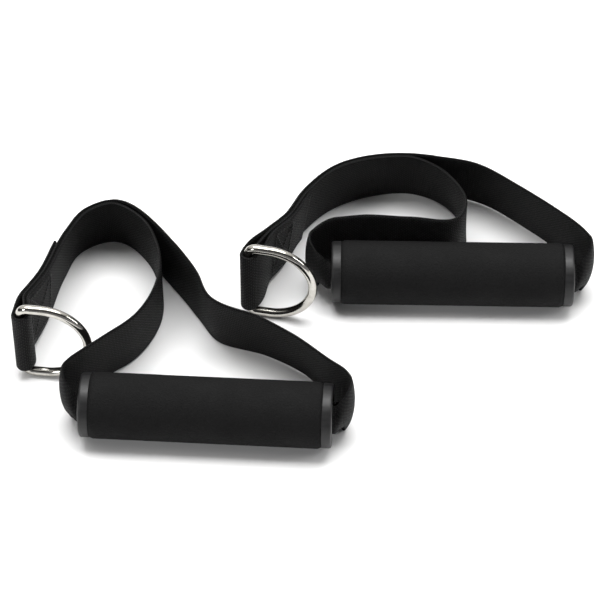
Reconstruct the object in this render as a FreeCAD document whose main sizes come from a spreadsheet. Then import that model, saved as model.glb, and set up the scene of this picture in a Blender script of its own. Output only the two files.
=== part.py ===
"""A pair of exercise handles for a resistance band, lying loose side by side.

Each handle is a foam grip on a rigid tube with a flanged cap in each end.  One length of
webbing runs through the tube, and both of its ends are sewn together round the straight bar
of a D-ring, where a band clips on.

Millimetres, +Z up.  The origin is on the surface that the pair lies on, at the middle of its
footprint.  Each handle is drawn in a frame of its own: X along the grip, Y away from the grip
towards the loop, and the origin on the surface, below the middle of the grip.
"""
import FreeCAD, Part

import math
import os

import Sketcher
from FreeCAD import Placement, Rotation, Vector

DIMENSIONS = {
    "foam_diameter": 33.0,
    "foam_wall": 4.6,
    "foam_round": 0.8,
    "grip_length": 124.5,
    "flange_thickness": 5.0,
    "cap_diameter": 32.0,
    "cap_round": 1.6,
    "cap_bore": 18.0,
    "mouth_round": 1.2,
    "spigot_length": 14.0,
    "tube_wall": 1.6,
    "spigot_gap": 0.1,
    "web_width": 38.0,
    "web_thickness": 1.6,
    "layer_pitch": 1.9,
    "ring_wire": 4.8,
    "ring_width": 45.0,
    "ring_depth": 33.0,
    "ring_corner": 4.0,
    "ring_height": 25.0,
    "fold_gap": 0.55,
    "thread_width": 0.9,
    "thread_height": 0.35,
    "thread_gap": 0.15,
}
SHEET = "Dimensions"

RUN_STEP = 6.0            # longest span between two sections of the webbing
ROUTE_STEP = 5.0          # longest span between two rows of a leg
WEB_FACETS = 8            # flat facets across the webbing
FOLD_STEPS = 6            # spans in the half turn round the ring's bar
STANDING = 19.2           # height of the webbing's middle where it stands on its edge
BORE_CURL = 279.0         # how far round the webbing is rolled up inside the tube
CUT_END_GAP = 3.0         # from the ring's wire to the cut end between the sewn layers

# How the webbing turns in at the end of a grip: (distance out from the cap's face, y, height,
# direction that the hollow side faces, lean, roll), seen at the left end.  The lip rolls over
# as the webbing goes in, so in the bore the hollow side faces back and up.
TURN = [
    (8.0, 12.0, 19.0, -35.0, 0.0, 30.0),
    (9.5, 7.0, 19.0, 5.0, -4.0, 35.0),
    (9.5, 3.0, 18.0, 30.0, -6.0, 40.0),
    (8.5, 0.0, 17.0, 55.0, -10.0, 60.0),
    (6.5, -2.5, 15.0, 75.0, -20.0, 100.0),
    (4.0, -4.0, 13.0, 85.0, -35.0, 170.0),
    (1.5, -5.0, 10.5, 90.0, -50.0, 275.0),
    (-1.5, -5.0, 10.5, 90.0, -50.0, BORE_CURL),
    (-6.0, -5.0, 10.5, 90.0, -50.0, BORE_CURL),
]

# The two handles.  The inner leg runs from the ring to the left end of the grip and the outer
# leg from the ring to the right end.  Each row is a place where the webbing passes, as
# (x, y, height of its middle, lean, roll): lean is how far its top tips to the left of the way
# from the ring to the grip, and both are in degrees.  The outer leg lies against the inner leg
# for its first rows, and the rows given for it start where the two part.
HANDLES = {
    "a": {
        "place": (-49.7, -76.25, -3.5),
        "ring": (-94.8, 33.6, -3.5),
        "folded_leg": "inner",
        "fold_back_reach": 60.0,
        "inner": [
            (-93, 50, 22, 0, 0),
            (-88, 68, STANDING, -4, 0),
            (-81, 100, STANDING, -9, 0),
            (-74, 117, STANDING, -13, 0),
            (-60, 125, STANDING, -13, 0),
            (-41, 112, STANDING, -6, 0),
            (-33, 95, STANDING, -2, 0),
            (-30, 75, STANDING, 1, 0),
            (-41, 43, STANDING, 7, 0),
            (-53, 31, STANDING, 9, 0),
            (-63, 20, STANDING, 5, 10),
        ],
        "shared_rows": 5,
        "outer": [
            (-30, 102, STANDING, -2, 0),
            (-20, 89, STANDING, -2, 0),
            (-10, 74, STANDING, -3, 0),
            (-2, 60, STANDING, -8, 0),
            (26, 48, STANDING, -13, 0),
            (44, 37, STANDING, -14, 0),
            (60, 22, STANDING, -8, 10),
        ],
        "reach": (1.0, 1.0),
    },
    "b": {
        "place": (74.6, 17.15, -1.2),
        "ring": (-104.0, -14.2, -9.8),
        "folded_leg": "outer",
        "fold_back_reach": 60.0,
        "inner": [
            (-94, 8, 22, -5, 0),
            (-86, 22, STANDING, -8, 0),
            (-78, 39, STANDING, -9, 0),
            (-60, 60, STANDING, -11, 0),
            (-38, 69, STANDING, -14, 0),
            (-20, 70, STANDING, -15, 0),
            (-2, 59, STANDING, -14, 0),
            (4, 49, STANDING, -10, 0),
            (7, 32, STANDING, 0, 0),
            (3, 22, STANDING, 4, 0),
            (-22, 21, STANDING, 5, 0),
            (-45, 22, STANDING, 5, 0),
            (-61, 20, STANDING, 4, 8),
        ],
        "shared_rows": 5,
        "outer": [
            (-10, 71, STANDING, -15, 0),
            (14, 65, STANDING, -14, 0),
            (38, 47, STANDING, -13, 0),
            (50, 36, STANDING, -12, 0),
            (61, 24, STANDING, -7, 8),
        ],
        "reach": (1.3, 1.0),
    },
}

# The box of stitches that closes the fold: from and to, along the sewn layers from the bar.
SEAM_START = 12.0
SEAM_END = 40.0
SEAM_EDGE = 4.0           # from the webbing's edges to the box of stitches


def make_sheet(doc):
    """Put the driving dimensions in a spreadsheet, one named cell each."""
    sheet = doc.addObject("Spreadsheet::Sheet", SHEET)
    for row, (name, value) in enumerate(DIMENSIONS.items(), start=1):
        sheet.set(f"A{row}", name)
        sheet.set(f"B{row}", str(value))
        sheet.setAlias(f"B{row}", name)
    doc.recompute()
    return sheet


def bind(expression):
    """Return an expression with every dimension's name pointing at the sheet."""
    words = expression.replace("(", "( ").replace(")", " )").split()
    return " ".join(f"{SHEET}.{word}" if word in DIMENSIONS else word for word in words)


def origin_plane(body, role):
    """Return one of the body's own origin planes."""
    return next(item for item in body.Origin.OriginFeatures if item.Role == role)


def new_sketch(body, name, role):
    """Attach an empty sketch to one of the body's own planes."""
    sketch = body.newObject("Sketcher::SketchObject", name)
    sketch.AttachmentSupport = [(origin_plane(body, role), "")]
    sketch.MapMode = "FlatFace"
    return sketch


def fix_point(sketch, geometry, point, name, x_rule, y_rule):
    """Tie one point of a sketch to two expressions, where "0" puts it on an axis."""
    for axis, kind, line, rule in (("x", "DistanceX", -2, x_rule), ("y", "DistanceY", -1, y_rule)):
        if rule == "0":
            sketch.addConstraint(Sketcher.Constraint("PointOnObject", geometry, point, line))
            continue
        index = sketch.addConstraint(
            Sketcher.Constraint(kind, -1, 1, geometry, point, value_of(sketch, rule)))
        label = f"{name}_{axis}"
        sketch.renameConstraint(index, label)
        sketch.setExpression(f"Constraints.{label}", bind(rule))


def value_of(owner, rule):
    """Work out an expression's value now, so that a sketch starts in its final shape."""
    return float(owner.evalExpression(bind(rule)))


def polygon_sketch(body, name, role, corners):
    """Draw a closed outline whose corners are pairs of expressions."""
    sketch = new_sketch(body, name, role)
    points = [Vector(value_of(sketch, x), value_of(sketch, y), 0) for x, y in corners]
    for index, start in enumerate(points):
        end = points[(index + 1) % len(points)]
        sketch.addGeometry(Part.LineSegment(start, end), False)
    for index in range(len(points)):
        following = (index + 1) % len(points)
        sketch.addConstraint(Sketcher.Constraint("Coincident", index, 2, following, 1))
        fix_point(sketch, index, 1, f"corner{index}", *corners[index])
    return sketch


def turned_body(doc, label, corners):
    """Make a body by turning an outline of (along the axis, radius) corners about X."""
    body = doc.addObject("PartDesign::Body", label)
    body.Label = label
    sketch = polygon_sketch(body, f"{label}_profile", "XY_Plane", corners)
    turned = body.newObject("PartDesign::Revolution", f"{label}_turned")
    turned.Profile = sketch
    turned.ReferenceAxis = (sketch, ["H_Axis"])
    turned.Angle = 360.0
    doc.recompute()
    return body, turned


def round_edges(doc, body, base, rule, wanted):
    """Round every circular edge that a test picks, with a radius from the sheet."""
    names = [
        f"Edge{index}" for index, edge in enumerate(base.Shape.Edges, start=1)
        if isinstance(edge.Curve, Part.Circle) and wanted(edge.Curve.Center.x, edge.Curve.Radius)
    ]
    fillet = body.newObject("PartDesign::Fillet", f"{body.Name}_{rule}")
    fillet.Base = (base, names)
    fillet.setExpression("Radius", bind(rule))
    body.Tip = fillet
    doc.recompute()
    return fillet


def make_foam(doc, label):
    """The foam sleeve, between the two flanges."""
    length = "( grip_length - 2 * flange_thickness )"
    outer = "foam_diameter / 2"
    inner = f"( {outer} - foam_wall )"
    body, turned = turned_body(doc, label, [
        ("0", inner), ("0", outer), (length, outer), (length, inner)])
    rim = value_of(body, outer)
    round_edges(doc, body, turned, "foam_round", lambda x, radius: abs(radius - rim) < 1e-6)
    return body


def make_tube(doc, label):
    """The rigid tube that carries the foam."""
    length = "( grip_length - 2 * flange_thickness )"
    outer = "( foam_diameter / 2 - foam_wall )"
    body, _ = turned_body(doc, label, [
        ("0", f"( {outer} - tube_wall )"), ("0", outer), (length, outer),
        (length, f"( {outer} - tube_wall )")])
    return body


def make_cap(doc, label):
    """A flanged cap: its spigot fills the tube's end and its mouth is rounded for the webbing."""
    spigot = "( foam_diameter / 2 - foam_wall - tube_wall - spigot_gap )"
    end = "( flange_thickness + spigot_length )"
    bore = "cap_bore / 2"
    body, turned = turned_body(doc, label, [
        ("0", bore), ("0", "cap_diameter / 2"), ("flange_thickness", "cap_diameter / 2"),
        ("flange_thickness", spigot), (end, spigot), (end, bore)])
    rim = value_of(body, "cap_diameter / 2")
    mouth = value_of(body, bore)
    rounded = round_edges(doc, body, turned, "cap_round",
                          lambda x, radius: abs(x) < 1e-6 and abs(radius - rim) < 1e-6)
    round_edges(doc, body, rounded, "mouth_round",
                lambda x, radius: abs(x) < 1e-6 and abs(radius - mouth) < 1e-6)
    return body


def make_ring(doc, label):
    """The welded D-ring: round wire swept along a bar, two short arms and a half circle."""
    body = doc.addObject("PartDesign::Body", label)
    body.Label = label
    spine = new_sketch(body, f"{label}_spine", "XZ_Plane")
    half = "ring_width / 2"
    straight = f"( {half} - ring_corner )"
    arm = f"( ring_depth - {half} )"
    corners = [("0", "0"), ("0", straight), ("ring_corner", half), (arm, half),
               (arm, f"-1 * ( {half} )"), ("ring_corner", f"-1 * ( {half} )"),
               ("0", f"-1 * {straight}")]
    points = [Vector(value_of(spine, x), value_of(spine, y), 0) for x, y in corners]
    corner, radius = value_of(spine, "ring_corner"), value_of(spine, half)
    slant = corner * math.sqrt(0.5)
    upper = Vector(corner - slant, radius - corner + slant, 0)
    lower = Vector(upper.x, -upper.y, 0)
    apex = Vector(points[3].x + radius, 0, 0)
    pieces = [
        Part.LineSegment(points[0], points[1]),
        Part.Arc(points[1], upper, points[2]),
        Part.LineSegment(points[2], points[3]),
        Part.Arc(points[3], apex, points[4]),
        Part.LineSegment(points[4], points[5]),
        Part.Arc(points[5], lower, points[6]),
        Part.LineSegment(points[6], points[0]),
    ]
    for piece in pieces:
        spine.addGeometry(piece, False)
    for index, (x_rule, y_rule) in ((0, corners[1]), (2, corners[3]), (4, corners[5])):
        fix_point(spine, index, 2, f"end{index}", x_rule, y_rule)
    for index, (x_rule, y_rule) in ((0, corners[0]), (2, corners[2]), (4, corners[4]),
                                    (6, corners[6])):
        fix_point(spine, index, 1, f"start{index}", x_rule, y_rule)
    # A clockwise arc is stored the other way round, so its ends are swapped.
    for arc in (1, 3, 5):
        begin = 2 if spine.getPoint(arc, 2).isEqual(spine.getPoint(arc - 1, 2), 1e-6) else 1
        spine.addConstraint(Sketcher.Constraint("Coincident", arc, begin, arc - 1, 2))
        spine.addConstraint(Sketcher.Constraint("Coincident", arc, 3 - begin, arc + 1, 1))
    for arc in (1, 5):
        index = spine.addConstraint(Sketcher.Constraint("Radius", arc, corner))
        spine.renameConstraint(index, f"radius{arc}")
        spine.setExpression(f"Constraints.radius{arc}", bind("ring_corner"))
    index = spine.addConstraint(Sketcher.Constraint("DistanceX", -1, 1, 3, 3, points[3].x))
    spine.renameConstraint(index, "arc_centre")
    spine.setExpression("Constraints.arc_centre", bind(arm))
    wire = new_sketch(body, f"{label}_wire", "XY_Plane")
    wire.addGeometry(Part.Circle(Vector(0, 0, 0), Vector(0, 0, 1),
                                 value_of(wire, "ring_wire / 2")), False)
    wire.addConstraint(Sketcher.Constraint("Coincident", 0, 3, -1, 1))
    index = wire.addConstraint(
        Sketcher.Constraint("Radius", 0, value_of(wire, "ring_wire / 2")))
    wire.renameConstraint(index, "wire_radius")
    wire.setExpression("Constraints.wire_radius", bind("ring_wire / 2"))
    pipe = body.newObject("PartDesign::AdditivePipe", f"{label}_pipe")
    pipe.Profile = wire
    pipe.Spine = spine
    doc.recompute()
    return body


def smooth(rows, step):
    """Run a smooth curve through rows of numbers, with no span longer than the step.

    The slope at a row weighs the changes to its two neighbours by how near they are, so the
    curve doesn't swing out beside a long gap.
    """
    gaps = [math.dist(start[:3], end[:3]) for start, end in zip(rows, rows[1:])]
    changes = [[(b - a) / gap for a, b in zip(start, end)]
               for start, end, gap in zip(rows, rows[1:], gaps)]
    slopes = [changes[0]]
    for before, after, behind, ahead in zip(changes, changes[1:], gaps, gaps[1:]):
        slopes.append([(a * ahead + b * behind) / (behind + ahead)
                       for a, b in zip(before, after)])
    slopes.append(changes[-1])
    result = []
    for start, end, gap, leaving, arriving in zip(rows, rows[1:], gaps, slopes, slopes[1:]):
        spans = max(2, math.ceil(gap / step))
        for part in range(spans):
            t = part / spans
            result.append(tuple(
                a + gap * m * t + (3 * (b - a) - gap * (2 * m + n)) * t ** 2
                + (2 * (a - b) + gap * (m + n)) * t ** 3
                for a, b, m, n in zip(start, end, leaving, arriving)))
    result.append(tuple(rows[-1]))
    return result


def left_facing(rows):
    """Give each row of a leg the direction of its left side, in the way that it runs."""
    faced = []
    for index, (x, y, height, lean, roll) in enumerate(rows):
        ahead = rows[min(index + 1, len(rows) - 1)]
        behind = rows[max(index - 1, 0)]
        way = math.degrees(math.atan2(ahead[1] - behind[1], ahead[0] - behind[0]))
        faced.append((x, y, height, way + 90.0, lean, roll))
    return faced


def shifted(faced, distance):
    """Move rows to their left by a distance, as the next layer of webbing lies."""
    return [
        (x + distance * math.cos(math.radians(side)), y + distance * math.sin(math.radians(side)),
         height, side, lean, roll)
        for x, y, height, side, lean, roll in faced
    ]


def turned_round(faced):
    """Run the rows the other way, so that left and right change places."""
    return [(x, y, height, side + 180.0, -lean, roll)
            for x, y, height, side, lean, roll in reversed(faced)]


def unwound(faced):
    """Count the directions on without a jump, so that they can be blended."""
    result = [faced[0]]
    for x, y, height, side, lean, roll in faced[1:]:
        last = result[-1][3]
        side = last + (side - last + 180.0) % 360.0 - 180.0
        result.append((x, y, height, side, lean, roll))
    return result


def turn_rows(sheet, reach):
    """The left turn into the grip, with its distances out of the cap scaled by its reach."""
    face = sheet.grip_length / 2
    return [(-face - out * (reach if out > 0 else 1.0), y, height, side, lean, roll)
            for out, y, height, side, lean, roll in TURN]


def mirrored(faced):
    """The same turn at the right end of the grip, run from the bore outwards."""
    return [(-x, y, height, 180.0 - side, lean, roll)
            for x, y, height, side, lean, roll in reversed(faced)]


def fold_rows(sheet, handle, start_side):
    """The half turn round the ring's bar, to the left, between the two sewn layers."""
    bar_x, bar_y, _ = handle["ring"]
    radius = sheet.ring_wire / 2 + sheet.web_thickness / 2 + sheet.fold_gap
    rows = []
    for index in range(FOLD_STEPS + 1):
        side = start_side + 180.0 * index / FOLD_STEPS
        angle = math.radians(side)
        rows.append((bar_x - radius * math.cos(angle), bar_y - radius * math.sin(angle),
                     sheet.ring_height, side, 0.0, 0.0))
    return rows


def first_rise(rows):
    """The rows from the ring up to the far side of the loop."""
    top = max(range(len(rows)), key=lambda index: rows[index][1])
    return rows[:top + 1]


def leg_rows(handle, name):
    """One leg's whole route, filled in between the points that are chosen for it."""
    return smooth(handle[name], ROUTE_STEP)


def sewn_rows(handle):
    """The rows of the inner leg that the folded end lies along."""
    bar_x, bar_y, _ = handle["ring"]
    return left_facing([row for row in first_rise(leg_rows(handle, "inner"))
                        if row[1] > bar_y
                        and math.dist(row[:2], (bar_x, bar_y)) <= handle["fold_back_reach"]])


def webbing_rows(sheet, handle):
    """Every row of one handle's webbing, from one cut end to the other, and its sewn part.

    The webbing goes along the inner leg, in at the left end of the grip, out at the right end
    and back along the outer leg.  One of the two legs goes on round the ring's bar and folds
    back against the layers, and the other leg ends between them.
    """
    route = leg_rows(handle, "inner")
    inner = left_facing(route)
    parting = tuple(handle["inner"][handle["shared_rows"] - 1])
    shared = shifted(inner[:route.index(parting) + 1], sheet.layer_pitch)
    outer = shared + left_facing(leg_rows(handle, "outer"))
    layers = 2 if handle["folded_leg"] == "inner" else -1
    fold_back = shifted(sewn_rows(handle), layers * sheet.layer_pitch)
    left_turn = turn_rows(sheet, handle["reach"][0])
    right_turn = mirrored(turn_rows(sheet, handle["reach"][1]))
    way = inner[0][3]
    fold = fold_rows(sheet, handle, way + 180.0)
    end_x, end_y, _ = handle["ring"]
    clear = sheet.ring_wire / 2 + CUT_END_GAP
    angle = math.radians(way - 90.0)
    cut_end = (end_x + clear * math.cos(angle), end_y + clear * math.sin(angle),
               sheet.ring_height, way, 0.0, 0.0)
    if handle["folded_leg"] == "inner":
        outer = [cut_end] + outer
        rows = (turned_round(fold_back) + fold + inner + left_turn + right_turn
                + turned_round(outer))
    else:
        inner = [cut_end] + inner
        rows = (inner + left_turn + right_turn + turned_round(outer) + fold + fold_back)
    return unwound(rows)


def section_frame(row):
    """Return a row's middle point, the way its hollow side faces and the way its width runs."""
    x, y, height, side, lean, _ = row
    flat = Vector(math.cos(math.radians(side)), math.sin(math.radians(side)), 0)
    tip = math.radians(lean)
    up = Vector(0, 0, math.cos(tip)) + flat * math.sin(tip)
    facing = flat * math.cos(tip) - Vector(0, 0, math.sin(tip))
    return Vector(x, y, height), facing, up


def across(sheet, row, distance, depth):
    """A point of the webbing, a distance up its width and a depth to its hollow side."""
    middle, facing, up = section_frame(row)
    roll = math.radians(row[5])
    if roll < 1e-3:
        return middle + up * distance + facing * depth
    radius = sheet.web_width / roll
    angle = distance / radius
    centre = middle + facing * radius
    return centre + (up * math.sin(angle) - facing * math.cos(angle)) * (radius - depth)


def band(sheet, rows, width, thickness, facets, offset=0.0, drift=(0.0, 0.0)):
    """Make a closed solid of even width and thickness along rows of webbing.

    The offset moves it off the webbing's middle surface, and the drift runs its middle across
    the webbing, from the first value to the second.
    """
    sections = []
    for index, row in enumerate(rows):
        share = index / (len(rows) - 1)
        centre = drift[0] + (drift[1] - drift[0]) * share
        steps = [centre + width * (step / facets - 0.5) for step in range(facets + 1)]
        outline = [across(sheet, row, step, offset - thickness / 2) for step in steps]
        outline += [across(sheet, row, step, offset + thickness / 2) for step in reversed(steps)]
        sections.append(Part.makePolygon(outline + outline[:1]))
    return Part.makeLoft(sections, True, True)


def make_webbing(doc, sheet, label, rows):
    """The webbing as one solid of even section."""
    feature = doc.addObject("Part::Feature", label)
    feature.Label = label
    feature.Shape = band(sheet, rows, sheet.web_width, sheet.web_thickness, WEB_FACETS)
    return feature


def seam_rows(sheet, handle, front):
    """The rows of the sewn length, on the layer nearest the viewer or the layer behind it."""
    if handle["folded_leg"] == "inner":
        layer = 0 if front else 2
    else:
        layer = -1 if front else 1
    rows = smooth(shifted(sewn_rows(handle), layer * sheet.layer_pitch), sheet.thread_width)
    bar = Vector(handle["ring"][0], handle["ring"][1], 0)
    return [row for row in rows
            if SEAM_START <= (Vector(row[0], row[1], 0) - bar).Length <= SEAM_END]


def make_stitching(doc, sheet, label, handle):
    """The thread: a box with a cross in it on each face of the sewn layers."""
    edge = sheet.web_width / 2 - SEAM_EDGE
    thread, height = sheet.thread_width, sheet.thread_height
    inside = edge - 1.5 * thread
    lines = []
    for front in (True, False):
        rows = seam_rows(sheet, handle, front)
        offset = ((sheet.web_thickness + height) / 2 + sheet.thread_gap) * (-1 if front else 1)
        inner_rows = rows[2:-2]
        half = len(inner_rows) // 2
        for level in (edge, -edge):
            lines.append(band(sheet, rows, thread, height, 1, offset, (level, level)))
        for end_rows in (rows[:2], rows[-2:]):
            lines.append(band(sheet, end_rows, 2 * inside, height, 1, offset))
        lines.append(band(sheet, inner_rows, thread, height, 1, offset,
                          (inside - thread, thread - inside)))
        lines.append(band(sheet, inner_rows[:half - 1], thread, height, 1, offset,
                          (thread - inside, -2 * thread)))
        lines.append(band(sheet, inner_rows[half + 2:], thread, height, 1, offset,
                          (2 * thread, inside - thread)))
    feature = doc.addObject("Part::Feature", label)
    feature.Label = label
    feature.Shape = Part.makeCompound(lines)
    return feature


def make_handle(doc, sheet, letter, handle):
    """Build every piece of one handle and lay it in its place."""
    x, y, yaw = handle["place"]
    ground = Placement(Vector(x, y, 0), Rotation(Vector(0, 0, 1), yaw))
    axis_height = Vector(0, 0, sheet.foam_diameter / 2)
    sleeve = Vector(sheet.flange_thickness - sheet.grip_length / 2, 0, 0)
    face = Vector(sheet.grip_length / 2, 0, 0)
    half_turn = Rotation(Vector(0, 0, 1), 180)
    bar_x, bar_y, ring_yaw = handle["ring"]
    bar = Vector(bar_x, bar_y, sheet.ring_height)
    rows = smooth(webbing_rows(sheet, handle), RUN_STEP)
    pieces = [
        (make_foam(doc, f"foam_grip_{letter}"), Placement(axis_height + sleeve, Rotation())),
        (make_tube(doc, f"core_tube_{letter}"), Placement(axis_height + sleeve, Rotation())),
        (make_cap(doc, f"end_cap_left_{letter}"), Placement(axis_height - face, Rotation())),
        (make_cap(doc, f"end_cap_right_{letter}"), Placement(axis_height + face, half_turn)),
        (make_ring(doc, f"d_ring_{letter}"),
         Placement(bar, Rotation(Vector(0, 0, 1), ring_yaw))),
        (make_webbing(doc, sheet, f"webbing_{letter}", rows), Placement()),
        (make_stitching(doc, sheet, f"stitching_{letter}", handle), Placement()),
    ]
    for piece, place in pieces:
        piece.Placement = ground.multiply(place)
    length = sum(math.dist(start[:3], end[:3]) for start, end in zip(rows, rows[1:]))
    print(f"webbing_{letter}: {length:.0f} mm long")
    return [piece for piece, _ in pieces]


def check(doc, pieces):
    """Stop if any object failed or any piece is not one whole, valid shape."""
    for item in doc.Objects:
        if "Invalid" in item.State or "Error" in item.State:
            raise RuntimeError(f"{item.Label} failed: {item.State}")
    for piece in pieces:
        if piece.Shape.isNull() or not piece.Shape.isValid() or piece.Shape.Volume <= 0:
            raise RuntimeError(f"{piece.Label} has no valid shape")


def main():
    doc = FreeCAD.newDocument("band_handles")
    sheet = make_sheet(doc)
    pieces = []
    for letter, handle in HANDLES.items():
        pieces += make_handle(doc, sheet, letter, handle)
    doc.recompute()
    check(doc, pieces)
    os.makedirs("parts", exist_ok=True)
    for piece in pieces:
        piece.Shape.exportStep(f"parts/{piece.Label}.step")
        box = piece.Shape.BoundBox
        print(f"{piece.Label}: {piece.Shape.Volume:.0f} mm3, {len(piece.Shape.Solids)} solids, "
              f"x {box.XMin:.1f} to {box.XMax:.1f}, y {box.YMin:.1f} to {box.YMax:.1f}, "
              f"z {box.ZMin:.1f} to {box.ZMax:.1f}")


main()
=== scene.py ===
"""Looks of a pair of exercise handles for a resistance band.

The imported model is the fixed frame.  The webbing, foam, caps, rings and stitches are modelled
here in detail, each in the space that its CAD node holds.  Metres, the same frame as the CAD.
"""

import math

import bpy
from mathutils import Matrix, Vector


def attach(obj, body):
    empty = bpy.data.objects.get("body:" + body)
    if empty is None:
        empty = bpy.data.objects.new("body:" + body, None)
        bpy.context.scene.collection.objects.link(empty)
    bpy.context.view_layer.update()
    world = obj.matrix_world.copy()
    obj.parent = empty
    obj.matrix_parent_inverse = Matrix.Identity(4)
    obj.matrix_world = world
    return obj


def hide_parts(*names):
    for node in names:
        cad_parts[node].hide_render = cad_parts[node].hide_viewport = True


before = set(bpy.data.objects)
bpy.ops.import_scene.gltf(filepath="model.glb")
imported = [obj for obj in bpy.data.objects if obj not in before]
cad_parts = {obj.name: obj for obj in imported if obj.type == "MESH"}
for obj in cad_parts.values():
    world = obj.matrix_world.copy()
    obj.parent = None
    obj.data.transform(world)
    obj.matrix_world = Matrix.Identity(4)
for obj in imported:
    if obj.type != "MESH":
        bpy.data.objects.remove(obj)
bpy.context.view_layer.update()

MM = 0.001

# ---------------------------------------------------------------- driving dimensions
FOAM_RADIUS = 16.5 * MM
FOAM_WALL = 4.6 * MM
GRIP_LENGTH = 124.5 * MM
FLANGE = 5.0 * MM
CAP_RADIUS = 16.0 * MM
CAP_BORE = 9.0 * MM
SPIGOT = 14.0 * MM
TUBE_WALL = 1.6 * MM
SPIGOT_GAP = 0.1 * MM
WEB_WIDTH = 38.0 * MM
WEB_THICKNESS = 1.6 * MM
LAYER_PITCH = 1.9 * MM
RING_WIRE = 4.8 * MM
RING_WIDTH = 45.0 * MM
RING_DEPTH = 33.0 * MM
RING_CORNER = 4.0 * MM
RING_HEIGHT = 25.0 * MM
FOLD_GAP = 0.55 * MM
FOLD_STEPS = 6
SEAM_START = 12.0 * MM
SEAM_END = 40.0 * MM
SEAM_EDGE = 4.0 * MM
STITCH_PITCH = 2.6 * MM
STITCH_HOLE = 0.06           # share of a stitch that is open at each of its holes
THREAD_RADIUS = 0.42 * MM
THREAD_RISE = 1.3            # how high a stitch's hump stands, in thread radii
THREAD_SINK = 0.75           # how deep its ends are sunk, in thread radii
THREAD_PINCH = 0.55          # how thin it is at its holes, as a share of its radius
WARP_PITCH = 0.95 * MM
WEFT_PITCH = 1.0 * MM
WEAVE_DEPTH = 0.6 * MM
WEAVE_WOBBLE = 0.22 * MM
CELL_DEPTH = 0.4 * MM
FOAM_SQUEEZE = 0.7 * MM      # how far a flange presses the foam's edge in
SQUEEZE_REACH = 0.5 * MM     # how fast the foam swells again away from the flange
MOUTH_ROUNDING = 1.2 * MM
RIM_ROUNDING = 1.6 * MM
FLANGE_ROUNDING = 0.25 * MM
SPIGOT_ROUNDING = 0.4 * MM

# ---------------------------------------------------------------- fineness of the meshes
WEB_STEP = 1.5 * MM
WEB_COLUMNS = 30
EDGE_STEPS = 4
SEAM_STEP = 0.4 * MM
LATHE_SEGMENTS = 96
ROUNDING_STEPS = 6
FOAM_STEPS = 60
WIRE_SIDES = 28
BAR_STEPS = 8
CORNER_STEPS = 8
ARM_STEPS = 4
BOW_STEPS = 32
THREAD_SIDES = 8
THREAD_STEPS = 8

# ---------------------------------------------------------------- view and light
VIEW_ELEVATION = 46.5        # degrees
VIEW_DISTANCE = 1.415
VIEW_AIM = (-0.0037, 0.01415, 0.0)
SENSOR_WIDTH = 36.0          # millimetres, as Blender counts it
LENS = 163.5
FLOOR_SIZE = 6.0
LIGHTS = {                   # place, size and power of each lamp, all aimed at the origin
    "overhead": ((0.0, 0.25, 1.5), (1.5, 0.8), 34.0),
    "front_left": ((-1.3, -1.2, 1.0), (0.45, 0.4), 9.0),
    "right": ((1.4, -0.1, 0.9), (0.35, 0.8), 7.0),
}
SKY_AXIS = (-0.12, 0.55, 0.83)
SKY_LEVELS = ((0.08, 0.03), (0.45, 0.03), (0.6, 0.6), (0.8, 1.0))
SKY_TINT = (1.0, 0.99, 0.97)
SKY_BELOW = (0.25, 0.25, 0.26)
SKY_STRENGTH = 1.1

# ---------------------------------------------------------------- tones
# The yarn's dark end is painted shade for the weave's hollows, its light end painted highlight for
# the weave's crowns.
YARN_HOLLOW_SHADE, YARN_CROWN_HIGHLIGHT = (0.0, 0.0, 0.0), (0.019, 0.019, 0.0194)
FOAM_DARK, FOAM_LIGHT = (0.001, 0.001, 0.001), (0.0062, 0.0062, 0.0063)
CAP_DARK, CAP_LIGHT = (0.008, 0.008, 0.0082), (0.016, 0.016, 0.0165)
NICKEL_BRIGHT, NICKEL_DULL = (0.52, 0.505, 0.47), (0.36, 0.345, 0.31)
THREAD_DARK, THREAD_LIGHT = (0.006, 0.006, 0.006), (0.02, 0.02, 0.0205)
FLOOR_DARK, FLOOR_LIGHT = (0.85, 0.85, 0.85), (0.87, 0.87, 0.87)

# ---------------------------------------------------------------- the webbing's routes
# They repeat the CAD part's, in its millimetres and degrees.
STANDING = 19.2              # height of the webbing's middle where it stands on its edge
ROUTE_STEP = 5.0             # longest span between two rows of a leg
BORE_CURL = 279.0            # how far round the webbing is rolled up inside the tube
NO_ROLL = 1e-3               # a section rolled less than this many radians is flat
CUT_END_GAP = 3.0 * MM

# The turn at a grip's end: distance out of the cap, y, height, side, lean, roll.
TURN = [
    (8.0, 12.0, 19.0, -35.0, 0.0, 30.0),
    (9.5, 7.0, 19.0, 5.0, -4.0, 35.0),
    (9.5, 3.0, 18.0, 30.0, -6.0, 40.0),
    (8.5, 0.0, 17.0, 55.0, -10.0, 60.0),
    (6.5, -2.5, 15.0, 75.0, -20.0, 100.0),
    (4.0, -4.0, 13.0, 85.0, -35.0, 170.0),
    (1.5, -5.0, 10.5, 90.0, -50.0, 275.0),
    (-1.5, -5.0, 10.5, 90.0, -50.0, BORE_CURL),
    (-6.0, -5.0, 10.5, 90.0, -50.0, BORE_CURL),
]

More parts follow.
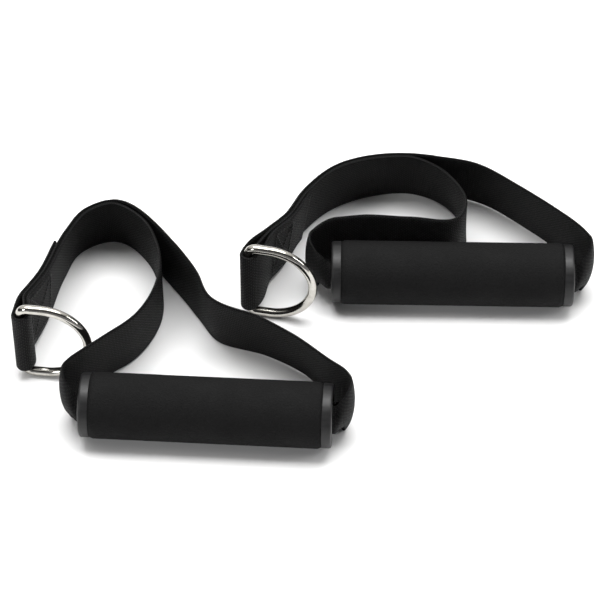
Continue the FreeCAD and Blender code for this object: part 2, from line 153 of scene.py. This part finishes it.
# Each handle: place and ring are x, y and yaw, and a leg's points are x, y, height, lean, roll.
HANDLES = {
    "a": {
        "place": (-49.7, -76.25, -3.5),
        "ring": (-94.8, 33.6, -3.5),
        "folded_leg": "inner",
        "fold_back_reach": 60.0,
        "inner": [
            (-93, 50, 22, 0, 0),
            (-88, 68, STANDING, -4, 0),
            (-81, 100, STANDING, -9, 0),
            (-74, 117, STANDING, -13, 0),
            (-60, 125, STANDING, -13, 0),
            (-41, 112, STANDING, -6, 0),
            (-33, 95, STANDING, -2, 0),
            (-30, 75, STANDING, 1, 0),
            (-41, 43, STANDING, 7, 0),
            (-53, 31, STANDING, 9, 0),
            (-63, 20, STANDING, 5, 10),
        ],
        "shared_rows": 5,
        "outer": [
            (-30, 102, STANDING, -2, 0),
            (-20, 89, STANDING, -2, 0),
            (-10, 74, STANDING, -3, 0),
            (-2, 60, STANDING, -8, 0),
            (26, 48, STANDING, -13, 0),
            (44, 37, STANDING, -14, 0),
            (60, 22, STANDING, -8, 10),
        ],
        "reach": (1.0, 1.0),
    },
    "b": {
        "place": (74.6, 17.15, -1.2),
        "ring": (-104.0, -14.2, -9.8),
        "folded_leg": "outer",
        "fold_back_reach": 60.0,
        "inner": [
            (-94, 8, 22, -5, 0),
            (-86, 22, STANDING, -8, 0),
            (-78, 39, STANDING, -9, 0),
            (-60, 60, STANDING, -11, 0),
            (-38, 69, STANDING, -14, 0),
            (-20, 70, STANDING, -15, 0),
            (-2, 59, STANDING, -14, 0),
            (4, 49, STANDING, -10, 0),
            (7, 32, STANDING, 0, 0),
            (3, 22, STANDING, 4, 0),
            (-22, 21, STANDING, 5, 0),
            (-45, 22, STANDING, 5, 0),
            (-61, 20, STANDING, 4, 8),
        ],
        "shared_rows": 5,
        "outer": [
            (-10, 71, STANDING, -15, 0),
            (14, 65, STANDING, -14, 0),
            (38, 47, STANDING, -13, 0),
            (50, 36, STANDING, -12, 0),
            (61, 24, STANDING, -7, 8),
        ],
        "reach": (1.3, 1.0),
    },
}


# ---------------------------------------------------------------- node materials
class Shader:
    """A small helper that adds nodes and links to one material."""

    def __init__(self, name, base, roughness, metallic=0.0):
        self.material = bpy.data.materials.new(name)
        self.material.use_nodes = True
        self.tree = self.material.node_tree
        self.surface = self.tree.nodes["Principled BSDF"]
        self.surface.inputs["Base Color"].default_value = (*base, 1.0)
        self.surface.inputs["Roughness"].default_value = roughness
        self.surface.inputs["Metallic"].default_value = metallic

    def node(self, kind, **settings):
        """Add a node with its settings."""
        made = self.tree.nodes.new(kind)
        for key, value in settings.items():
            setattr(made, key, value)
        return made

    def link(self, source, target):
        """Join an output to an input."""
        self.tree.links.new(source, target)

    def feed(self, socket, value):
        """Give an input a value, or join it to an output."""
        if isinstance(value, bpy.types.NodeSocket):
            self.link(value, socket)
        else:
            socket.default_value = value

    def math(self, operation, first, second=0.0):
        """Add one step of arithmetic."""
        made = self.node("ShaderNodeMath", operation=operation)
        for socket, value in zip(made.inputs, (first, second)):
            self.feed(socket, value)
        return made.outputs[0]

    def coordinates(self, kind, scale=(1.0, 1.0, 1.0)):
        """Texture coordinates of a kind, scaled along each axis."""
        mapping = self.node("ShaderNodeMapping")
        mapping.inputs["Scale"].default_value = scale
        self.link(self.node("ShaderNodeTexCoord").outputs[kind], mapping.inputs["Vector"])
        return mapping.outputs[0]

    def noise(self, vector, scale, detail=2.0, roughness=0.5):
        """Add a soft random texture."""
        made = self.node("ShaderNodeTexNoise")
        self.feed(made.inputs["Vector"], vector)
        made.inputs["Scale"].default_value = scale
        made.inputs["Detail"].default_value = detail
        made.inputs["Roughness"].default_value = roughness
        return made.outputs["Fac"]

    def cells(self, vector, scale):
        """Add a texture of round cells."""
        made = self.node("ShaderNodeTexVoronoi", feature="F1")
        self.feed(made.inputs["Vector"], vector)
        made.inputs["Scale"].default_value = scale
        return made.outputs["Distance"]

    def span(self, value, low, high, to_low, to_high):
        """Map one range of values to another."""
        made = self.node("ShaderNodeMapRange")
        made.inputs["From Min"].default_value = low
        made.inputs["From Max"].default_value = high
        made.inputs["To Min"].default_value = to_low
        made.inputs["To Max"].default_value = to_high
        self.link(value, made.inputs["Value"])
        return made.outputs[0]

    def blend(self, amount, first, second):
        """Mix two colours."""
        made = self.node("ShaderNodeMix", data_type="RGBA")
        self.feed(made.inputs["Factor"], amount)
        self.feed(made.inputs["A"], (*first, 1.0) if isinstance(first, tuple) else first)
        self.feed(made.inputs["B"], (*second, 1.0) if isinstance(second, tuple) else second)
        return made.outputs["Result"]

    def bump(self, height, distance, strength=1.0):
        """Add relief on top of any relief that is there."""
        made = self.node("ShaderNodeBump")
        made.inputs["Strength"].default_value = strength
        made.inputs["Distance"].default_value = distance
        self.link(height, made.inputs["Height"])
        last = self.surface.inputs["Normal"]
        if last.is_linked:
            self.link(last.links[0].from_socket, made.inputs["Normal"])
        self.link(made.outputs[0], last)


def webbing_material():
    """Black nylon webbing: a plain weave of flat yarns, its map in metres across and along."""
    shader = Shader("webbing_nylon", (0.006, 0.006, 0.0065), 0.6)
    shader.surface.inputs["Specular IOR Level"].default_value = 0.12
    uv = shader.node("ShaderNodeTexCoord").outputs["UV"]
    wobble = shader.node("ShaderNodeTexNoise")
    wobble.inputs["Scale"].default_value = 260.0
    wobble.inputs["Detail"].default_value = 1.0
    shader.link(uv, wobble.inputs["Vector"])
    offset = shader.node("ShaderNodeVectorMath", operation="MULTIPLY_ADD")
    shader.link(wobble.outputs["Color"], offset.inputs[0])
    offset.inputs[1].default_value = (WEAVE_WOBBLE, WEAVE_WOBBLE, 0.0)
    shader.link(uv, offset.inputs[2])
    split = shader.node("ShaderNodeSeparateXYZ")
    shader.link(offset.outputs[0], split.inputs[0])
    across = shader.math("SINE", shader.math("MULTIPLY", split.outputs[0], math.pi / WEFT_PITCH))
    along = shader.math("SINE", shader.math("MULTIPLY", split.outputs[1], math.pi / WARP_PITCH))
    check = shader.math("MULTIPLY", across, along)
    crown = shader.math("POWER", shader.math("ABSOLUTE", check), 0.6)
    over = shader.span(check, -0.3, 0.3, 0.0, 1.0)
    height = shader.math("ADD", shader.math("MULTIPLY", crown, 0.7),
                         shader.math("MULTIPLY", over, 0.3))
    fibre = shader.noise(shader.coordinates("UV", (9000.0, 1400.0, 1.0)), 1.0, 2.0)
    relief = shader.math("ADD", height, shader.math("MULTIPLY", fibre, 0.25))
    shader.bump(relief, WEAVE_DEPTH)
    patches = shader.noise(shader.coordinates("UV", (60.0, 25.0, 1.0)), 1.0, 3.0)
    # Painted light: the weave's crowns are painted lighter as painted highlight and its hollows
    # darker as painted shade, times random patches of real tone.
    tone = shader.math("MULTIPLY", shader.span(height, 0.3, 1.0, 0.0, 1.0),
                       shader.span(patches, 0.3, 0.7, 0.8, 1.15))
    colour = shader.blend(tone, YARN_HOLLOW_SHADE, YARN_CROWN_HIGHLIGHT)
    shader.link(colour, shader.surface.inputs["Base Color"])
    shader.link(shader.span(height, 0.0, 1.0, 0.75, 0.5), shader.surface.inputs["Roughness"])
    return shader.material


def foam_material():
    """Matt black closed-cell foam, with a skin of very fine cells."""
    shader = Shader("foam_cells", (0.005, 0.005, 0.0052), 0.75)
    shader.surface.inputs["Specular IOR Level"].default_value = 0.12
    place = shader.coordinates("Object")
    cells = shader.cells(place, 1500.0)
    grain = shader.noise(place, 900.0, 3.0, 0.6)
    patches = shader.noise(place, 60.0, 3.0)
    shader.bump(cells, CELL_DEPTH, 0.6)
    shader.bump(grain, CELL_DEPTH, 0.6)
    tone = shader.math("MULTIPLY", shader.span(grain, 0.3, 0.7, 0.6, 1.0),
                       shader.span(patches, 0.3, 0.7, 0.85, 1.0))
    shader.link(shader.blend(tone, FOAM_DARK, FOAM_LIGHT),
                shader.surface.inputs["Base Color"])
    shader.link(shader.span(patches, 0.3, 0.7, 0.72, 0.85), shader.surface.inputs["Roughness"])
    return shader.material


def cap_material():
    """Dark moulded plastic with a satin face and faint handling marks."""
    shader = Shader("cap_plastic", (0.009, 0.009, 0.0093), 0.4)
    shader.surface.inputs["Specular IOR Level"].default_value = 0.3
    place = shader.coordinates("Object")
    grain = shader.noise(place, 2200.0, 2.0)
    marks = shader.noise(shader.coordinates("Object", (1.0, 6.0, 6.0)), 120.0, 4.0, 0.7)
    shader.bump(grain, 0.00004, 0.5)
    shader.link(shader.span(marks, 0.3, 0.7, 0.34, 0.5), shader.surface.inputs["Roughness"])
    worn = shader.span(marks, 0.35, 0.75, 0.0, 1.0)
    shader.link(shader.blend(worn, CAP_DARK, CAP_LIGHT), shader.surface.inputs["Base Color"])
    return shader.material


def ring_material():
    """Polished nickel plate with fine polishing lines and a few dull spots."""
    shader = Shader("nickel_plate", (0.5, 0.485, 0.45), 0.1, 1.0)
    place = shader.coordinates("Object")
    lines = shader.noise(shader.coordinates("Object", (4.0, 4.0, 40.0)), 160.0, 3.0)
    spots = shader.noise(place, 240.0, 4.0, 0.7)
    shader.bump(lines, 0.00001, 0.25)
    shader.link(shader.span(spots, 0.4, 0.75, 0.08, 0.22), shader.surface.inputs["Roughness"])
    dull = shader.span(spots, 0.4, 0.8, 0.0, 1.0)
    shader.link(shader.blend(dull, NICKEL_BRIGHT, NICKEL_DULL),
                shader.surface.inputs["Base Color"])
    return shader.material


def thread_material():
    """Bonded black polyester thread, twisted."""
    shader = Shader("bonded_thread", (0.01, 0.01, 0.0103), 0.45)
    shader.surface.inputs["Specular IOR Level"].default_value = 0.35
    twist = shader.node("ShaderNodeTexWave", bands_direction="DIAGONAL")
    twist.inputs["Scale"].default_value = 900.0
    shader.link(shader.coordinates("Object"), twist.inputs["Vector"])
    shader.bump(twist.outputs["Fac"], 0.0001, 0.5)
    shader.link(shader.blend(twist.outputs["Fac"], THREAD_DARK, THREAD_LIGHT),
                shader.surface.inputs["Base Color"])
    return shader.material


def tube_material():
    """Grey extruded plastic, with faint lines along the tube."""
    shader = Shader("extruded_tube", (0.30, 0.30, 0.30), 0.5)
    lines = shader.noise(shader.coordinates("Object", (1.0, 60.0, 60.0)), 40.0, 2.0)
    shader.bump(lines, 0.00005, 0.4)
    shader.link(shader.span(lines, 0.3, 0.7, 0.42, 0.58), shader.surface.inputs["Roughness"])
    return shader.material


def floor_material():
    """A matt white surface, very slightly uneven in tone."""
    shader = Shader("pale_floor", (0.86, 0.86, 0.86), 0.9)
    grain = shader.noise(shader.coordinates("Object"), 40.0, 3.0)
    shader.link(shader.blend(grain, FLOOR_DARK, FLOOR_LIGHT),
                shader.surface.inputs["Base Color"])
    return shader.material


# ---------------------------------------------------------------- mesh helpers
def make_piece(name, points, faces, material, body, smooth=True, uvs=None):
    """Make a mesh object that rides on a CAD body."""
    mesh = bpy.data.meshes.new(name)
    mesh.from_pydata([tuple(point) for point in points], [], faces)
    if uvs is not None:
        layer = mesh.uv_layers.new(name="across_and_along")
        for loop in mesh.loops:
            layer.data[loop.index].uv = uvs[loop.index]
    mesh.validate()
    for polygon in mesh.polygons:
        polygon.use_smooth = smooth
    mesh.materials.append(material)
    piece = bpy.data.objects.new(name, mesh)
    bpy.context.scene.collection.objects.link(piece)
    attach(piece, body)
    return piece


def skin(rings, count, closed=False, first=0):
    """Faces between rings of points, every ring a loop of the same count."""
    faces = []
    for ring in range(rings if closed else rings - 1):
        here = first + ring * count
        there = first + (ring + 1) % rings * count
        for step in range(count):
            ahead = (step + 1) % count
            faces.append((here + step, here + ahead, there + ahead, there + step))
    return faces


def running_lengths(points):
    """How far along a line of points each of them lies."""
    lengths = [0.0]
    for start, end in zip(points, points[1:]):
        lengths.append(lengths[-1] + math.dist(start, end))
    return lengths


def handle_matrix(handle):
    """Where one handle lies."""
    x, y, yaw = handle["place"]
    return (Matrix.Translation((x * MM, y * MM, 0.0))
            @ Matrix.Rotation(math.radians(yaw), 4, "Z"))


# ---------------------------------------------------------------- the webbing's route
def smooth_rows(rows, step):
    """Run a smooth curve through rows of numbers, with no span longer than the step.

    The slope at a row weighs the changes to its two neighbours by how near they are, so the
    curve doesn't swing out beside a long gap.
    """
    gaps = [math.dist(start[:3], end[:3]) for start, end in zip(rows, rows[1:])]
    changes = [[(b - a) / gap for a, b in zip(start, end)]
               for start, end, gap in zip(rows, rows[1:], gaps)]
    slopes = [changes[0]]
    for before, after, behind, ahead in zip(changes, changes[1:], gaps, gaps[1:]):
        slopes.append([(a * ahead + b * behind) / (behind + ahead)
                       for a, b in zip(before, after)])
    slopes.append(changes[-1])
    result = []
    for start, end, gap, leaving, arriving in zip(rows, rows[1:], gaps, slopes, slopes[1:]):
        spans = max(2, math.ceil(gap / step))
        for part in range(spans):
            t = part / spans
            result.append(tuple(
                a + gap * m * t + (3 * (b - a) - gap * (2 * m + n)) * t ** 2
                + (2 * (a - b) + gap * (m + n)) * t ** 3
                for a, b, m, n in zip(start, end, leaving, arriving)))
    result.append(tuple(rows[-1]))
    return result


def left_facing(rows):
    """Give each row of a leg the direction of its left side, in the way that it runs."""
    faced = []
    for index, (x, y, height, lean, roll) in enumerate(rows):
        ahead = rows[min(index + 1, len(rows) - 1)]
        behind = rows[max(index - 1, 0)]
        way = math.degrees(math.atan2(ahead[1] - behind[1], ahead[0] - behind[0]))
        faced.append((x * MM, y * MM, height * MM, way + 90.0, lean, roll))
    return faced


def shifted(faced, distance):
    """Move rows to their left by a distance, as the next layer of webbing lies."""
    return [
        (x + distance * math.cos(math.radians(side)), y + distance * math.sin(math.radians(side)),
         height, side, lean, roll)
        for x, y, height, side, lean, roll in faced
    ]


def turned_round(faced):
    """Run the rows the other way, so that left and right change places."""
    return [(x, y, height, side + 180.0, -lean, roll)
            for x, y, height, side, lean, roll in reversed(faced)]


def unwound(faced):
    """Count the directions on without a jump, so that they can be blended."""
    result = [faced[0]]
    for x, y, height, side, lean, roll in faced[1:]:
        last = result[-1][3]
        side = last + (side - last + 180.0) % 360.0 - 180.0
        result.append((x, y, height, side, lean, roll))
    return result


def turn_rows(reach):
    """The left turn into the grip, with its distances out of the cap scaled by its reach."""
    return [(-GRIP_LENGTH / 2 - out * MM * (reach if out > 0 else 1.0), y * MM, height * MM,
             side, lean, roll) for out, y, height, side, lean, roll in TURN]


def mirrored(faced):
    """The same turn at the right end of the grip, run from the bore outwards."""
    return [(-x, y, height, 180.0 - side, lean, roll)
            for x, y, height, side, lean, roll in reversed(faced)]


def fold_rows(handle, start_side):
    """The half turn round the ring's bar, to the left, between the two sewn layers."""
    bar_x, bar_y, _ = handle["ring"]
    radius = RING_WIRE / 2 + WEB_THICKNESS / 2 + FOLD_GAP
    rows = []
    for index in range(FOLD_STEPS + 1):
        side = start_side + 180.0 * index / FOLD_STEPS
        angle = math.radians(side)
        rows.append((bar_x * MM - radius * math.cos(angle), bar_y * MM - radius * math.sin(angle),
                     RING_HEIGHT, side, 0.0, 0.0))
    return rows


def first_rise(rows):
    """The rows from the ring up to the far side of the loop."""
    top = max(range(len(rows)), key=lambda index: rows[index][1])
    return rows[:top + 1]


def leg_rows(handle, name):
    """One leg's whole route, filled in between the points that are chosen for it."""
    return smooth_rows(handle[name], ROUTE_STEP)


def sewn_rows(handle):
    """The rows of the inner leg that the folded end lies along."""
    bar_x, bar_y, _ = handle["ring"]
    return left_facing([row for row in first_rise(leg_rows(handle, "inner"))
                        if row[1] > bar_y
                        and math.dist(row[:2], (bar_x, bar_y)) <= handle["fold_back_reach"]])


def webbing_rows(handle):
    """Every row of one handle's webbing, from one cut end to the other."""
    route = leg_rows(handle, "inner")
    inner = left_facing(route)
    parting = tuple(handle["inner"][handle["shared_rows"] - 1])
    shared = shifted(inner[:route.index(parting) + 1], LAYER_PITCH)
    outer = shared + left_facing(leg_rows(handle, "outer"))
    layers = 2 if handle["folded_leg"] == "inner" else -1
    fold_back = shifted(sewn_rows(handle), layers * LAYER_PITCH)
    left_turn = turn_rows(handle["reach"][0])
    right_turn = mirrored(turn_rows(handle["reach"][1]))
    way = inner[0][3]
    fold = fold_rows(handle, way + 180.0)
    end_x, end_y, _ = handle["ring"]
    clear = RING_WIRE / 2 + CUT_END_GAP
    angle = math.radians(way - 90.0)
    cut_end = (end_x * MM + clear * math.cos(angle), end_y * MM + clear * math.sin(angle),
               RING_HEIGHT, way, 0.0, 0.0)
    if handle["folded_leg"] == "inner":
        outer = [cut_end] + outer
        rows = (turned_round(fold_back) + fold + inner + left_turn + right_turn
                + turned_round(outer))
    else:
        inner = [cut_end] + inner
        rows = inner + left_turn + right_turn + turned_round(outer) + fold + fold_back
    return unwound(rows)


def across(row, distance, depth):
    """A point of the webbing, a distance up its width and a depth to its hollow side."""
    x, y, height, side, lean, roll = row
    flat = Vector((math.cos(math.radians(side)), math.sin(math.radians(side)), 0.0))
    tip = math.radians(lean)
    rise = Vector((0.0, 0.0, 1.0))
    up = rise * math.cos(tip) + flat * math.sin(tip)
    facing = flat * math.cos(tip) - rise * math.sin(tip)
    middle = Vector((x, y, height))
    bend = math.radians(roll)
    if bend < NO_ROLL:
        return middle + up * distance + facing * depth
    radius = WEB_WIDTH / bend
    angle = distance / radius
    centre = middle + facing * radius
    return centre + (up * math.sin(angle) - facing * math.cos(angle)) * (radius - depth)


# ---------------------------------------------------------------- pieces
def webbing_outline():
    """The section of the webbing as (distance up, depth) points, with round selvedges."""
    half = WEB_THICKNESS / 2
    flat = WEB_WIDTH / 2 - half
    right = [(-flat + 2 * flat * step / WEB_COLUMNS, -half) for step in range(WEB_COLUMNS + 1)]
    top = [(flat + half * math.sin(math.pi * step / EDGE_STEPS),
            -half * math.cos(math.pi * step / EDGE_STEPS)) for step in range(1, EDGE_STEPS)]
    left = [(distance, half) for distance, _ in reversed(right)]
    bottom = [(-distance, -depth) for distance, depth in top]
    return right + top + left + bottom


def make_webbing(letter, handle, material):
    """The webbing as one closed ribbon, mapped in metres across and along."""
    rows = smooth_rows(webbing_rows(handle), WEB_STEP)
    outline = webbing_outline()
    count = len(outline)
    matrix = handle_matrix(handle)
    girth = running_lengths(outline + outline[:1])
    travel = running_lengths([row[:3] for row in rows])
    points = [matrix @ across(row, distance, depth) for row in rows for distance, depth in outline]
    faces = skin(len(rows), count)
    uvs = []
    for near, far in zip(travel, travel[1:]):
        for edge, next_edge in zip(girth, girth[1:]):
            uvs += [(edge, near), (next_edge, near), (next_edge, far), (edge, far)]
    last = (len(rows) - 1) * count
    faces.append(tuple(range(count - 1, -1, -1)))
    uvs += [(girth[step], 0.0) for step in range(count - 1, -1, -1)]
    faces.append(tuple(last + step for step in range(count)))
    uvs += [(girth[step], travel[-1]) for step in range(count)]
    piece = make_piece(f"webbing_loop_{letter}", points, faces, material, f"strap_{letter}",
                       uvs=uvs)
    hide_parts(f"webbing_{letter}")


def lathe(profile, matrix):
    """Turn a closed outline of (along, radius) points about X."""
    angles = [2 * math.pi * step / LATHE_SEGMENTS for step in range(LATHE_SEGMENTS)]
    points = [matrix @ Vector((along, radius * math.cos(angle), radius * math.sin(angle)))
              for angle in angles for along, radius in profile]
    return points, skin(LATHE_SEGMENTS, len(profile), closed=True)


def rounded(corners):
    """Round the corners of a closed outline: each corner is (along, radius, rounding)."""
    outline = []
    for index, (along, radius, rounding) in enumerate(corners):
        corner = Vector((along, radius))
        if rounding <= 0.0:
            outline.append((along, radius))
            continue
        before = Vector(corners[index - 1][:2]) - corner
        after = Vector(corners[(index + 1) % len(corners)][:2]) - corner
        start = corner + before.normalized() * rounding
        end = corner + after.normalized() * rounding
        for step in range(ROUNDING_STEPS + 1):
            t = step / ROUNDING_STEPS
            point = start * (1 - t) ** 2 + corner * 2 * t * (1 - t) + end * t ** 2
            outline.append((point.x, point.y))
    return outline


def make_foam(letter, handle, material):
    """The foam sleeve: its ends are squeezed a little by the flanges."""
    half = GRIP_LENGTH / 2 - FLANGE
    inner = FOAM_RADIUS - FOAM_WALL
    outline = [(-half, inner)]
    for step in range(FOAM_STEPS + 1):
        along = -half + 2 * half * step / FOAM_STEPS
        near = half - abs(along)
        outline.append((along, FOAM_RADIUS - FOAM_SQUEEZE * math.exp(-near / SQUEEZE_REACH)))
    outline.append((half, inner))
    matrix = handle_matrix(handle) @ Matrix.Translation((0, 0, FOAM_RADIUS))
    piece = make_piece(f"foam_sleeve_{letter}", *lathe(outline, matrix), material,
                       f"grip_{letter}")
    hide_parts(f"foam_grip_{letter}")


def make_cap(letter, handle, side, material):
    """A flanged cap with a rounded rim and a rounded mouth."""
    spigot = FOAM_RADIUS - FOAM_WALL - TUBE_WALL - SPIGOT_GAP
    outline = rounded([
        (0.0, CAP_BORE, MOUTH_ROUNDING),
        (0.0, CAP_RADIUS, RIM_ROUNDING),
        (FLANGE, CAP_RADIUS, FLANGE_ROUNDING),
        (FLANGE, spigot, 0.0),
        (FLANGE + SPIGOT, spigot, SPIGOT_ROUNDING),
        (FLANGE + SPIGOT, CAP_BORE, SPIGOT_ROUNDING),
    ])
    place = Matrix.Translation((-GRIP_LENGTH / 2, 0, FOAM_RADIUS))
    if side == "right":
        place = (Matrix.Translation((GRIP_LENGTH / 2, 0, FOAM_RADIUS))
                 @ Matrix.Rotation(math.pi, 4, "Z"))
    piece = make_piece(f"flanged_cap_{side}_{letter}",
                       *lathe(outline, handle_matrix(handle) @ place), material,
                       f"grip_{letter}")
    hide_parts(f"end_cap_{side}_{letter}")


def ring_line():
    """The middle line of the D-ring's wire, as (depth, height) points of a closed loop."""
    half = RING_WIDTH / 2
    arm = RING_DEPTH - half
    line = [(0.0, (half - RING_CORNER) * step / BAR_STEPS) for step in range(BAR_STEPS)]
    for step in range(CORNER_STEPS):
        angle = math.pi / 2 * step / CORNER_STEPS
        line.append((RING_CORNER * (1 - math.cos(angle)),
                     half - RING_CORNER * (1 - math.sin(angle))))
    line += [(RING_CORNER + (arm - RING_CORNER) * step / ARM_STEPS, half)
             for step in range(ARM_STEPS)]
    for step in range(BOW_STEPS + 1):
        angle = math.pi / 2 * step / BOW_STEPS
        line.append((arm + half * math.sin(angle), half * math.cos(angle)))
    return line + [(depth, -height) for depth, height in reversed(line[1:-1])]


def make_ring(letter, handle, material):
    """The D-ring: round wire along its middle line."""
    bar_x, bar_y, yaw = handle["ring"]
    matrix = (handle_matrix(handle) @ Matrix.Translation((bar_x * MM, bar_y * MM, RING_HEIGHT))
              @ Matrix.Rotation(math.radians(yaw), 4, "Z"))
    line = ring_line()
    aside = Vector((0, 1, 0))
    points = []
    for index, (depth, height) in enumerate(line):
        ahead, behind = line[(index + 1) % len(line)], line[index - 1]
        way = Vector((ahead[0] - behind[0], 0.0, ahead[1] - behind[1])).normalized()
        out = Vector((-way.z, 0.0, way.x))
        centre = Vector((depth, 0.0, height))
        for step in range(WIRE_SIDES):
            angle = 2 * math.pi * step / WIRE_SIDES
            spoke = out * math.cos(angle) + aside * math.sin(angle)
            points.append(matrix @ (centre + RING_WIRE / 2 * spoke))
    faces = skin(len(line), WIRE_SIDES, closed=True)
    piece = make_piece(f"polished_d_ring_{letter}", points, faces, material, f"ring_{letter}")
    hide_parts(f"d_ring_{letter}")


def seam_rows(handle, inside):
    """The rows of the sewn length, on its layer inside the loop or on its outermost layer."""
    if handle["folded_leg"] == "inner":
        layer = 0 if inside else 2
    else:
        layer = -1 if inside else 1
    rows = smooth_rows(shifted(sewn_rows(handle), layer * LAYER_PITCH), SEAM_STEP)
    bar = (handle["ring"][0] * MM, handle["ring"][1] * MM)
    return [row for row in rows if SEAM_START <= math.dist(row[:2], bar) <= SEAM_END]


def seam_places(rows, start, end):
    """The holes of one straight run of stitches: ends are (share of the seam, distance up)."""
    length = math.dist(rows[0][:2], rows[-1][:2])
    run = math.hypot((end[0] - start[0]) * length, end[1] - start[1])
    count = max(2, round(run / STITCH_PITCH))
    places = []
    for step in range(count + 1):
        share = start[0] + (end[0] - start[0]) * step / count
        places.append((rows[min(round(share * (len(rows) - 1)), len(rows) - 1)],
                       start[1] + (end[1] - start[1]) * step / count))
    return places


def make_stitching(letter, handle, material):
    """A box of stitches with a cross in it on each face: short humps of twisted thread."""
    matrix = handle_matrix(handle)
    edge = WEB_WIDTH / 2 - SEAM_EDGE
    points, faces = [], []
    for inside in (True, False):
        rows = seam_rows(handle, inside)
        sign = -1.0 if inside else 1.0
        corners = [(0.0, edge), (1.0, edge), (1.0, -edge), (0.0, -edge)]
        runs = list(zip(corners, corners[1:] + corners[:1]))
        runs += [(corners[0], corners[2]), (corners[1], corners[3])]
        for start, end in runs:
            holes = seam_places(rows, start, end)
            for (row, up), (next_row, next_up) in zip(holes, holes[1:]):
                add_stitch(points, faces, matrix, (row, up), (next_row, next_up), sign)
    piece = make_piece(f"box_stitches_{letter}", points, faces, material, f"strap_{letter}")
    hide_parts(f"stitching_{letter}")


def add_stitch(points, faces, matrix, start, end, sign):
    """One stitch: a thread that rises out of its hole, lies along the face and goes back in."""
    first = len(points)
    a = across(start[0], start[1], sign * WEB_THICKNESS / 2)
    b = across(end[0], end[1], sign * WEB_THICKNESS / 2)
    out = (across(start[0], start[1], sign * WEB_THICKNESS) - a).normalized()
    along = (b - a).normalized()
    aside = along.cross(out).normalized()
    for step in range(THREAD_STEPS + 1):
        t = step / THREAD_STEPS
        hump = math.sin(math.pi * t)
        rise = THREAD_RADIUS * (THREAD_RISE * hump ** 0.5 - THREAD_SINK)
        centre = a.lerp(b, STITCH_HOLE + (1 - 2 * STITCH_HOLE) * t) + out * rise
        radius = THREAD_RADIUS * (THREAD_PINCH + (1 - THREAD_PINCH) * hump ** 0.4)
        for side in range(THREAD_SIDES):
            angle = 2 * math.pi * side / THREAD_SIDES
            spoke = aside * math.cos(angle) + out * math.sin(angle)
            points.append(matrix @ (centre + radius * spoke))
    faces += skin(THREAD_STEPS + 1, THREAD_SIDES, first=first)
    last = first + THREAD_STEPS * THREAD_SIDES
    faces.append(tuple(first + side for side in range(THREAD_SIDES - 1, -1, -1)))
    faces.append(tuple(last + side for side in range(THREAD_SIDES)))


# ---------------------------------------------------------------- stage, light and camera
def make_stage():
    """The surface that the handles lie on."""
    bpy.ops.mesh.primitive_plane_add(size=FLOOR_SIZE, location=(0, 0, 0))
    floor = bpy.context.object
    floor.name = "pale_floor"
    floor.data.materials.append(floor_material())


def area_light(name, place, size, power):
    """A rectangular lamp aimed at the origin."""
    light = bpy.data.lights.new(name, "AREA")
    light.shape = "RECTANGLE"
    light.size, light.size_y = size
    light.energy = power
    lamp = bpy.data.objects.new(name, light)
    lamp.location = place
    lamp.rotation_euler = (Vector() - Vector(place)).to_track_quat("-Z", "Y").to_euler()
    bpy.context.scene.collection.objects.link(lamp)


def make_lights():
    """A broad soft light overhead, two weaker ones, and a sky with a dark band for the nickel to
    reflect.
    """
    for name, (place, size, power) in LIGHTS.items():
        area_light(name, place, size, power)
    world = bpy.data.worlds.new("soft_studio")
    world.use_nodes = True
    tree = world.node_tree
    upward = tree.nodes.new("ShaderNodeVectorMath")
    upward.operation = "DOT_PRODUCT"
    upward.inputs[1].default_value = SKY_AXIS
    tree.links.new(tree.nodes.new("ShaderNodeTexCoord").outputs["Generated"], upward.inputs[0])
    ramp = tree.nodes.new("ShaderNodeValToRGB")
    stops = ramp.color_ramp.elements
    stops[0].position, stops[0].color = 0.0, (*SKY_BELOW, 1.0)
    stops[1].position, stops[1].color = 1.0, (1.0, 1.0, 1.0, 1.0)
    for position, level in SKY_LEVELS:
        stop = stops.new(position)
        stop.color = (*(level * share for share in SKY_TINT), 1.0)
    tree.links.new(upward.outputs["Value"], ramp.inputs["Fac"])
    background = tree.nodes["Background"]
    tree.links.new(ramp.outputs["Color"], background.inputs["Color"])
    background.inputs["Strength"].default_value = SKY_STRENGTH
    bpy.context.scene.world = world
    bpy.context.scene.view_settings.view_transform = "Standard"


def make_camera():
    """A long lens from the front, looking down at the pair."""
    elevation = math.radians(VIEW_ELEVATION)
    camera = bpy.data.cameras.new("camera")
    camera.sensor_width = SENSOR_WIDTH
    camera.lens = LENS
    camera.clip_start, camera.clip_end = 0.01, 20.0
    eye = bpy.data.objects.new("camera", camera)
    back = Vector((0, -math.cos(elevation), math.sin(elevation)))
    eye.location = Vector(VIEW_AIM) + VIEW_DISTANCE * back
    eye.rotation_euler = (math.pi / 2 - elevation, 0.0, 0.0)
    bpy.context.scene.collection.objects.link(eye)
    bpy.context.scene.camera = eye


materials = {
    "webbing": webbing_material(), "foam": foam_material(), "cap": cap_material(),
    "ring": ring_material(), "thread": thread_material(), "tube": tube_material(),
}
for letter, handle in HANDLES.items():
    make_webbing(letter, handle, materials["webbing"])
    make_foam(letter, handle, materials["foam"])
    for side in ("left", "right"):
        make_cap(letter, handle, side, materials["cap"])
    make_ring(letter, handle, materials["ring"])
    make_stitching(letter, handle, materials["thread"])
    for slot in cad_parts[f"core_tube_{letter}"].material_slots:
        slot.material = materials["tube"]
make_stage()
make_lights()
make_camera()
